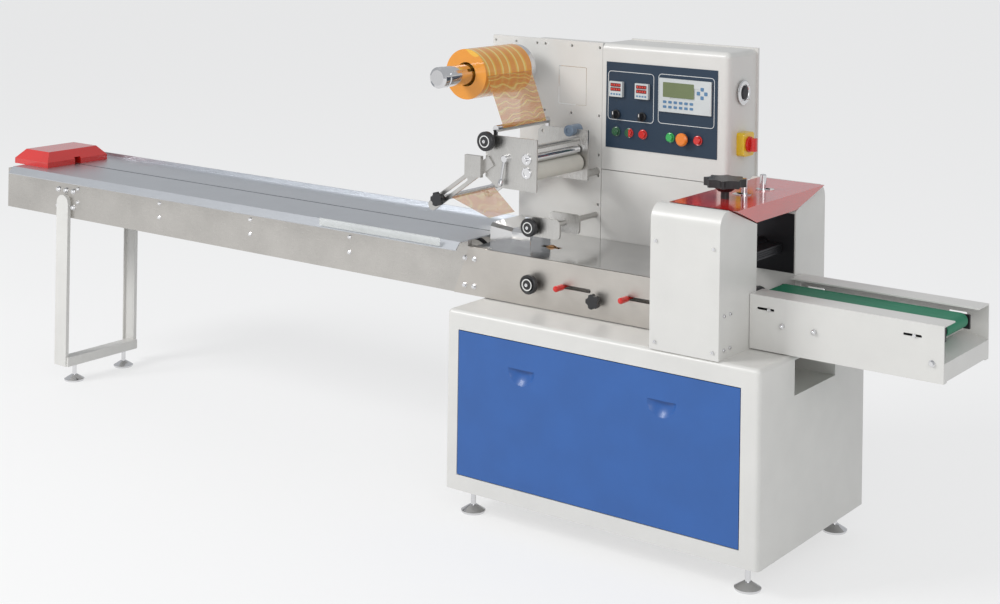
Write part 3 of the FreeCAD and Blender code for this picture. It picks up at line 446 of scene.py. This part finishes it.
# ---------------------------------------------------------------- control panel
# Two thin rounded outlines are printed on the navy sheet round the groups of
# instruments. The controllers have dark red windows with plain bars, and the
# display has an olive screen, two rows of keys and a four-way pad.
plate_low, plate_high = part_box("control_plate")
outline_ink = surface("white_ink", (0.80, 0.82, 0.82), 0.5)
window_red = surface("dark_red_window", (0.16, 0.006, 0.006), 0.12, coat=0.6)
olive_screen = surface("olive_screen", (0.15, 0.19, 0.08), 0.14, coat=0.5)
key_blue = surface("key_blue", (0.10, 0.22, 0.38), 0.5)
lit_bar = surface("lit_segments", (0.75, 0.04, 0.02), 0.3)


def rounded_path(left, right, low, high, radius, steps=6):
    """Corner points of a rounded rectangle in x and z."""
    points = []
    for corner_x, corner_z, start in ((right - radius, high - radius, 0.0),
                                      (left + radius, high - radius, 0.5 * math.pi),
                                      (left + radius, low + radius, math.pi),
                                      (right - radius, low + radius, 1.5 * math.pi)):
        for step in range(steps + 1):
            angle = start + 0.5 * math.pi * step / steps
            points.append((corner_x + radius * math.cos(angle), corner_z + radius * math.sin(angle)))
    return points


def raised_tile(work, left, right, low, high, radius, back, face):
    """A rounded tile standing off a wall that faces the front."""
    outline = rounded_path(left, right, low, high, radius)
    rear = [work.verts.new((x, back, z)) for x, z in outline]
    fore = [work.verts.new((x, face, z)) for x, z in outline]
    for index in range(len(outline)):
        after = (index + 1) % len(outline)
        work.faces.new((rear[index], rear[after], fore[after], fore[index]))
    work.faces.new(fore)
    work.faces.new(rear[::-1])


def outline_band(work, left, right, low, high, radius, width, back, face):
    """A closed thin band that follows a rounded rectangle."""
    outer = rounded_path(left, right, low, high, radius)
    inner = rounded_path(left + width, right - width, low + width, high - width, radius - width)
    loops = [[work.verts.new((x, y, z)) for x, z in path]
             for path, y in ((outer, back), (outer, face), (inner, face), (inner, back))]
    for first, second in zip(loops, loops[1:] + loops[:1]):
        for index in range(len(outer)):
            after = (index + 1) % len(outer)
            work.faces.new((first[index], first[after], second[after], second[index]))


panel_y = plate_low.y
groups = (
    (plate_low.x + 7.0 * MM, plate_low.x + 176.0 * MM,
     plate_low.z + 88.7 * MM, plate_high.z - 28.0 * MM),
    (plate_low.x + 192.0 * MM, plate_high.x - 10.0 * MM,
     plate_low.z + 92.7 * MM, plate_high.z - 24.0 * MM),
)
link_piece("panel_outlines", lambda work: [
    outline_band(work, *group, 12.0 * MM, 1.6 * MM, panel_y + 0.2 * MM, panel_y - 0.4 * MM)
    for group in groups], outline_ink)

control_low, control_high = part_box("temperature_controllers")
unit_width = control_high.z - control_low.z
unit_starts = (control_low.x, control_high.x - unit_width)
link_piece("controller_windows", lambda work: [
    raised_tile(work, start + 5.0 * MM, start + unit_width - 5.0 * MM, control_low.z + low * MM,
                control_low.z + high * MM, 1.5 * MM, control_low.y + 0.2 * MM, control_low.y - 0.5 * MM)
    for start in unit_starts for low, high in ((18.0, 29.0), (32.0, 43.0))], window_red)
link_piece("controller_segments", lambda work: [
    raised_tile(work, start + (8.0 + 9.0 * digit) * MM, start + (13.0 + 9.0 * digit) * MM,
                control_low.z + level * MM, control_low.z + (level + 5.0) * MM, 0.5 * MM,
                control_low.y - 0.3 * MM, control_low.y - 0.7 * MM)
    for start in unit_starts for level in (21.0, 35.0) for digit in range(4)], lit_bar)
link_piece("controller_keys", lambda work: [
    raised_tile(work, start + (6.0 + 10.0 * key) * MM, start + (12.0 + 10.0 * key) * MM,
                control_low.z + 6.0 * MM, control_low.z + 11.0 * MM, 1.2 * MM,
                control_low.y + 0.2 * MM, control_low.y - 1.0 * MM)
    for start in unit_starts for key in range(4)], key_blue)

display_low, display_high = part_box("display_unit")
link_piece("display_screen", lambda work: raised_tile(
    work, display_low.x + 14.0 * MM, display_low.x + 124.0 * MM, display_low.z + 46.0 * MM,
    display_high.z - 12.0 * MM, 2.0 * MM, display_low.y + 0.2 * MM, display_low.y - 0.4 * MM),
    olive_screen)
link_piece("display_keys", lambda work: [
    raised_tile(work, display_low.x + (15.0 + 19.0 * key) * MM, display_low.x + (27.0 + 19.0 * key) * MM,
                display_low.z + level * MM, display_low.z + (level + 8.0) * MM, 2.0 * MM,
                display_low.y + 0.2 * MM, display_low.y - 1.0 * MM)
    for key in range(6) for level in (12.0, 27.0)], key_blue)
link_piece("display_pad", lambda work: [
    raised_tile(work, display_high.x - 31.0 * MM + across * MM - 5.5 * MM,
                display_high.x - 31.0 * MM + across * MM + 5.5 * MM,
                display_low.z + 66.0 * MM + up * MM - 5.5 * MM,
                display_low.z + 66.0 * MM + up * MM + 5.5 * MM, 2.0 * MM,
                display_low.y + 0.2 * MM, display_low.y - 1.0 * MM)
    for across, up in ((-13.0, 0.0), (13.0, 0.0), (0.0, 13.0), (0.0, -13.0))], key_blue)

# A faint square is scribed on the machine plate beside the panel.
back_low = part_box("back_panel")[0]
link_piece("scribed_square", lambda work: outline_band(
    work, back_low.x + 266.0 * MM, back_low.x + 373.0 * MM, 1179.0 * MM, 1302.0 * MM,
    3.0 * MM, 1.2 * MM, back_low.y + 0.2 * MM, back_low.y - 0.4 * MM), chrome)

# The selectors have a white pointer moulded on the grip. It turns with the dial.
for side in ("left", "right"):
    dial_low, dial_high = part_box(f"selector_{side}")
    dial_middle = (dial_low + dial_high) / 2
    link_piece(f"selector_{side}_pointer", lambda work, low=dial_low, high=dial_high,
               middle=dial_middle: raised_tile(
                   work, middle.x - 1.3 * MM, middle.x + 1.3 * MM, middle.z + 1.0 * MM,
                   high.z - 3.5 * MM, 0.8 * MM, low.y + 0.2 * MM, low.y - 0.4 * MM),
               white_plastic, f"{side}_selector")

# ---------------------------------------------------------------- round port
# A plated cable port with four screws closes a hole in the control box's side.
box_low, box_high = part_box("control_box")
port_height = 1259.0 * MM
port = Vector((box_high.x, box_low.y + 80.0 * MM, port_height))
outward = (1.0, 0.0, 0.0)
link_piece("side_port", lambda work: turned_profile(
    work, port, outward, [(0.0, 38.0 * MM), (3.0 * MM, 38.0 * MM), (5.0 * MM, 35.0 * MM),
                          (5.0 * MM, 25.0 * MM), (2.0 * MM, 23.0 * MM)], 64), chrome)
link_piece("side_port_cap", lambda work: turned_profile(
    work, port + Vector((1.5 * MM, 0.0, 0.0)), outward,
    [(0.0, 22.0 * MM), (4.0 * MM, 21.0 * MM), (6.0 * MM, 16.0 * MM)], 48), blackened)
bolts("side_port_screws", cap_screw,
      [port + Vector((5.0 * MM, 30.0 * MM * math.cos(turn), 30.0 * MM * math.sin(turn)))
       for turn in (math.pi * (0.25 + 0.5 * quarter) for quarter in range(4))],
      outward, 3.2 * MM)

# ---------------------------------------------------------------- film eye
# A small round sensor on the film path reads the print marks.
pull_low, pull_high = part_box("pull_frame")
eye_foot = Vector((pull_low.x + 132.0 * MM, pull_high.y - 36.0 * MM, pull_high.z - 5.0 * MM))
sensor_blue = surface("sensor_case", (0.16, 0.22, 0.30), 0.35, coat=0.3)
link_piece("film_eye", lambda work: turned_profile(
    work, eye_foot, (0.0, -1.0, 0.0),
    [(0.0, 15.0 * MM), (2.0 * MM, 18.0 * MM), (58.0 * MM, 18.0 * MM), (60.0 * MM, 15.0 * MM),
     (60.0 * MM, 9.0 * MM), (57.0 * MM, 8.0 * MM)], 40), sensor_blue)

# Bearing discs close the roller ends on the front plate, and a short lever with
# a ball end lifts the pressure roller off the film.
for bearing, node in (("drive", "drive_roller"), ("nip", "nip_roller")):
    roller_low, roller_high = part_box(node)
    roller_middle = (roller_low + roller_high) / 2
    link_piece(f"{bearing}_bearing", lambda work, middle=roller_middle: turned_profile(
        work, (middle.x, pull_low.y - 0.2 * MM, middle.z), front,
        [(0.0, 17.0 * MM), (3.0 * MM, 17.0 * MM), (4.0 * MM, 15.5 * MM), (4.0 * MM, 9.0 * MM),
         (2.5 * MM, 8.5 * MM)], 40), chrome)
lever_foot = Vector((pull_low.x + 78.0 * MM, pull_low.y - 8.0 * MM, pull_low.z + 92.0 * MM))
lever_way = Vector((-0.12, -0.10, -1.0))
link_piece("release_lever", lambda work: [
    turned_profile(work, (lever_foot.x, pull_low.y, lever_foot.z), front,
                   [(0.0, 11.0 * MM), (13.0 * MM, 11.0 * MM), (14.0 * MM, 9.5 * MM)], 32),
    turned_profile(work, lever_foot, lever_way,
                   [(0.0, 5.0 * MM), (62.0 * MM, 4.0 * MM), (66.0 * MM, 7.5 * MM),
                    (76.0 * MM, 9.0 * MM), (84.0 * MM, 6.0 * MM), (86.0 * MM, 2.0 * MM)], 28)],
    chrome)

# ---------------------------------------------------------------- measuring strip
# A clear plastic strip is fixed along the front lip of the infeed bed.
clear_strip = surface("clear_strip", (0.74, 0.76, 0.74), 0.15, coat=0.4)
clear_strip.node_tree.nodes["Principled BSDF"].inputs["Alpha"].default_value = 0.45
bed_low, bed_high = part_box("infeed_bed")
link_piece("measuring_strip", lambda work: raised_tile(
    work, bed_high.x - 560.0 * MM, bed_high.x - 60.0 * MM, bed_low.z + 8.0 * MM, bed_high.z - 6.0 * MM,
    2.0 * MM, bed_low.y - 0.2 * MM, bed_low.y - 2.2 * MM), clear_strip)

# ---------------------------------------------------------------- studio
# A plain pale floor and soft light from the upper front left. The camera is
# level and looks slightly down the machine from its outfeed end.
floor_mesh = bpy.data.meshes.new("floor")
floor_half = 30.0
floor_mesh.from_pydata([(-floor_half, -floor_half, 0), (floor_half, -floor_half, 0),
                        (floor_half, floor_half, 0), (-floor_half, floor_half, 0)],
                       [], [(0, 1, 2, 3)])
floor = bpy.data.objects.new("floor", floor_mesh)
bpy.context.scene.collection.objects.link(floor)
floor_paint = bpy.data.materials.new("floor_paint")
floor_paint.use_nodes = True
floor_shader = floor_paint.node_tree.nodes["Principled BSDF"]
floor_shader.inputs["Base Color"].default_value = (0.86, 0.86, 0.86, 1.0)
floor_shader.inputs["Roughness"].default_value = 0.8
# Seen directly, in a reflection or through film, the floor is lifted towards
# white, so the backdrop stays pale. Diffuse light meets it as a matt floor.
floor_links = floor_paint.node_tree.links
floor_rays = floor_paint.node_tree.nodes.new("ShaderNodeLightPath")
seen_once = floor_paint.node_tree.nodes.new("ShaderNodeMath")
seen_at_all = floor_paint.node_tree.nodes.new("ShaderNodeMath")
seen_share = floor_paint.node_tree.nodes.new("ShaderNodeMath")
seen_once.operation = "MAXIMUM"
seen_at_all.operation = "MAXIMUM"
seen_share.operation = "MULTIPLY"
seen_share.inputs[1].default_value = 0.62
floor_glow = floor_paint.node_tree.nodes.new("ShaderNodeEmission")
floor_mix = floor_paint.node_tree.nodes.new("ShaderNodeMixShader")
floor_links.new(floor_rays.outputs["Is Camera Ray"], seen_once.inputs[0])
floor_links.new(floor_rays.outputs["Is Glossy Ray"], seen_once.inputs[1])
floor_links.new(seen_once.outputs[0], seen_at_all.inputs[0])
floor_links.new(floor_rays.outputs["Is Transmission Ray"], seen_at_all.inputs[1])
floor_links.new(seen_at_all.outputs[0], seen_share.inputs[0])
floor_links.new(seen_share.outputs[0], floor_mix.inputs["Fac"])
floor_links.new(floor_shader.outputs["BSDF"], floor_mix.inputs[1])
floor_links.new(floor_glow.outputs["Emission"], floor_mix.inputs[2])
floor_links.new(floor_mix.outputs["Shader"],
                floor_paint.node_tree.nodes["Material Output"].inputs["Surface"])
floor_mesh.materials.append(floor_paint)


def area_lamp(name, place, aim, size, power):
    """A square soft lamp that faces a point."""
    data = bpy.data.lights.new(name, "AREA")
    data.size = size
    data.energy = power
    lamp = bpy.data.objects.new(name, data)
    lamp.location = place
    lamp.rotation_euler = (Vector(aim) - Vector(place)).to_track_quat("-Z", "Y").to_euler()
    bpy.context.scene.collection.objects.link(lamp)


area_lamp("key", (-3.2, -5.0, 5.0), (0.4, 0.0, 0.7), 2.6, 270.0)
area_lamp("fill", (4.6, -4.2, 3.2), (0.6, 0.0, 0.8), 3.6, 80.0)
world = bpy.data.worlds.new("studio")
world.use_nodes = True
backdrop = world.node_tree.nodes["Background"]
seen = world.node_tree.nodes.new("ShaderNodeBackground")
seen.inputs["Color"].default_value = (1.0, 1.0, 1.0, 1.0)
backdrop.inputs["Color"].default_value = (0.95, 0.97, 1.0, 1.0)
backdrop.inputs["Strength"].default_value = 0.55
choose = world.node_tree.nodes.new("ShaderNodeMixShader")
rays = world.node_tree.nodes.new("ShaderNodeLightPath")
links = world.node_tree.links
links.new(rays.outputs["Is Camera Ray"], choose.inputs["Fac"])
links.new(backdrop.outputs["Background"], choose.inputs[1])
links.new(seen.outputs["Background"], choose.inputs[2])
links.new(choose.outputs["Shader"], world.node_tree.nodes["World Output"].inputs["Surface"])
bpy.context.scene.world = world

camera_data = bpy.data.cameras.new("camera")
camera_data.sensor_width = 36.0
camera_lens = 62.14
camera_drop = -0.4188
camera_data.lens = camera_lens
camera_data.shift_y = camera_drop
camera_data.clip_end = 100.0
camera = bpy.data.objects.new("camera", camera_data)
heading = math.radians(36.27)
roll = math.radians(0.82)
camera_place = (3.5765, -4.4515, 1.8895)
camera.matrix_world = (Matrix.Translation(camera_place)
                       @ Matrix.Rotation(heading, 4, "Z")
                       @ Matrix.Rotation(math.radians(90), 4, "X")
                       @ Matrix.Rotation(roll, 4, "Z"))
bpy.context.scene.collection.objects.link(camera)
bpy.context.scene.camera = camera
bpy.context.scene.view_settings.view_transform = "Standard"
